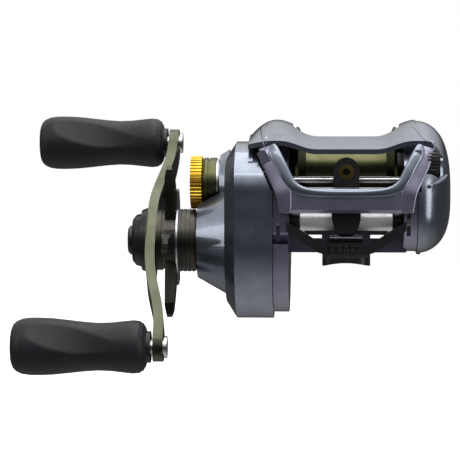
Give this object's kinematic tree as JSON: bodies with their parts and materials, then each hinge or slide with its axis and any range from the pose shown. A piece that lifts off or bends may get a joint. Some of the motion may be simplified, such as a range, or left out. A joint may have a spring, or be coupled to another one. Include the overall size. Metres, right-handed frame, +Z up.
{
  "type": "baitcasting reel",
  "caption": "Low-profile baitcasting fishing reel with side crank, star drag, level-wind line guide, thumb-bar clutch and curved foot.",
  "frame": {"origin": "middle of the curved saddle under the foot, where it sits on the rod", "axes": "+X along the spool axis away from the handle, -Y towards the rod tip, +Z up from the rod"},
  "size_m": [0.132, 0.0848, 0.077],
  "materials": {
    "body_pearl": "pearl metallic paint",
    "frame_metal": "pearl metallic paint on a magnesium casting",
    "black_plastic": "moulded, satin",
    "grip_rubber": "matte grip",
    "bronze_anodised": "olive bronze anodised",
    "gold_anodised": "gold anodised",
    "brass": "machined",
    "steel": "turned and polished",
    "white_metal": "clear anodised, satin",
    "white_nylon": "moulded",
    "carbon_fibre": "woven carbon",
    "aluminium": "machined"
  },
  "bodies": {
    "root": {"anti_reverse_bearing": "steel", "cast_control_seal": "steel", "drive_shaft_bearing": "steel", "foot_screws": "steel", "gear_plate_screws": "steel", "gear_side_plate": "body_pearl", "guide_rail": "steel", "main_frame": "frame_metal", "pinion_bearing": "steel", "reel_foot": "black_plastic", "shaft_end_bearing": "steel", "tension_spacer": "white_nylon", "top_cover": "body_pearl", "worm_tube": "white_metal", "yoke_posts": "steel", "yoke_springs": "steel"},
    "crank": {"drive_shaft": "steel", "drive_gear": "brass", "drag_washers": "carbon_fibre", "pressure_plate": "steel", "clutch_sleeve": "steel", "ratchet": "steel", "level_wind_idler": "white_nylon", "arm_spacer": "bronze_anodised", "handle_arm": "bronze_anodised", "handle_nut": "steel", "nut_cover": "black_plastic", "nut_cover_screw": "black_plastic", "knob_upper_shaft": "steel", "knob_lower_shaft": "steel"},
    "star": {"star_drag": "bronze_anodised", "star_skirt": "bronze_anodised", "click_plate": "steel"},
    "knob_upper": {"knob_upper_grip": "grip_rubber", "knob_upper_bearings": "steel", "knob_upper_flange": "black_plastic"},
    "knob_lower": {"knob_lower_grip": "grip_rubber", "knob_lower_bearings": "steel", "knob_lower_flange": "black_plastic"},
    "spool": {"spool": "bronze_anodised", "spool_shaft": "steel", "spool_pin": "steel", "brake_rotor": "aluminium"},
    "yoke": {"pinion_yoke": "black_plastic"},
    "pinion": {"pinion_gear": "brass"},
    "worm": {"worm_shaft": "steel", "worm_gear": "white_nylon"},
    "guide": {"line_guide": "black_plastic", "line_guide_ring": "gold_anodised", "pawl": "steel", "pawl_cap": "black_plastic"},
    "thumb": {"thumb_bar": "black_plastic"},
    "cam": {"clutch_cam": "black_plastic"},
    "cast_control": {"cast_control_cap": "bronze_anodised", "cast_control_ring": "gold_anodised"},
    "palm_plate": {"palm_side_cover": "body_pearl", "brake_case": "black_plastic", "palm_shaft_bearing": "steel"},
    "dial": {"brake_dial": "black_plastic"},
    "latch": {"side_plate_latch": "black_plastic"}
  },
  "joints": [
    {"name": "crank_turn", "type": "hinge", "parent": "root", "child": "crank", "pos_m": [-0.04, 0.001, 0.0046], "axis": [1, 0, 0], "continuous": true},
    {"name": "star_drag_turn", "type": "hinge", "parent": "crank", "child": "star", "pos_m": [-0.054, 0.001, 0.0046], "axis": [1, 0, 0], "range_deg": [-90, 270]},
    {"name": "knob_upper_spin", "type": "hinge", "parent": "crank", "child": "knob_upper", "pos_m": [-0.08, 0.0347, 0.03442], "axis": [1, 0, 0], "continuous": true},
    {"name": "knob_lower_spin", "type": "hinge", "parent": "crank", "child": "knob_lower", "pos_m": [-0.08, -0.0327, -0.02522], "axis": [1, 0, 0], "continuous": true},
    {"name": "spool_spin", "type": "hinge", "parent": "root", "child": "spool", "pos_m": [0, 0.005, 0.0226], "axis": [1, 0, 0], "continuous": true},
    {"name": "yoke_slide", "type": "slide", "parent": "root", "child": "yoke", "axis": [-1, 0, 0], "range_m": [0, 0.0016], "deforming": ["yoke_springs"]},
    {"name": "pinion_spin", "type": "hinge", "parent": "yoke", "child": "pinion", "pos_m": [-0.03, 0.005, 0.0226], "axis": [1, 0, 0], "continuous": true},
    {"name": "worm_spin", "type": "hinge", "parent": "root", "child": "worm", "pos_m": [0, -0.017, 0.0117], "axis": [1, 0, 0], "continuous": true},
    {"name": "line_guide_slide", "type": "slide", "parent": "root", "child": "guide", "axis": [1, 0, 0], "range_m": [-0.009, 0.009]},
    {"name": "thumb_bar_press", "type": "slide", "parent": "root", "child": "thumb", "axis": [0, 0, -1], "range_m": [0, 0.003], "stiffness_N_per_m": 150, "springref_m": -0.001},
    {"name": "clutch_cam_turn", "type": "hinge", "parent": "root", "child": "cam", "pos_m": [-0.0233, 0.005, 0.0226], "axis": [1, 0, 0], "range_deg": [0, 25]},
    {"name": "cast_control_turn", "type": "hinge", "parent": "root", "child": "cast_control", "pos_m": [-0.045, 0.005, 0.0226], "axis": [1, 0, 0], "range_deg": [-180, 360]},
    {"name": "side_plate_release", "type": "slide", "parent": "root", "child": "palm_plate", "axis": [1, 0, 0], "range_m": [0, 0.012]},
    {"name": "brake_dial_turn", "type": "hinge", "parent": "palm_plate", "child": "dial", "pos_m": [0.0265, -0.0192, 0.0299], "axis": [1, 0, 0], "range_deg": [-120, 120]},
    {"name": "side_plate_latch_turn", "type": "hinge", "parent": "palm_plate", "child": "latch", "pos_m": [0.02235, -0.0046, 0.0019], "axis": [1, 0, 0], "range_deg": [-35, 0]}
  ],
  "couplings": [
    {"joint": "spool_spin", "follows": "crank_turn", "ratio": -8.5},
    {"joint": "pinion_spin", "follows": "crank_turn", "ratio": -8.5},
    {"joint": "worm_spin", "follows": "crank_turn", "ratio": -2.5},
    {"joint": "yoke_slide", "follows": "thumb_bar_press", "ratio": 0.53333},
    {"joint": "clutch_cam_turn", "follows": "thumb_bar_press", "rad_per_m": 145.44}
  ]
}
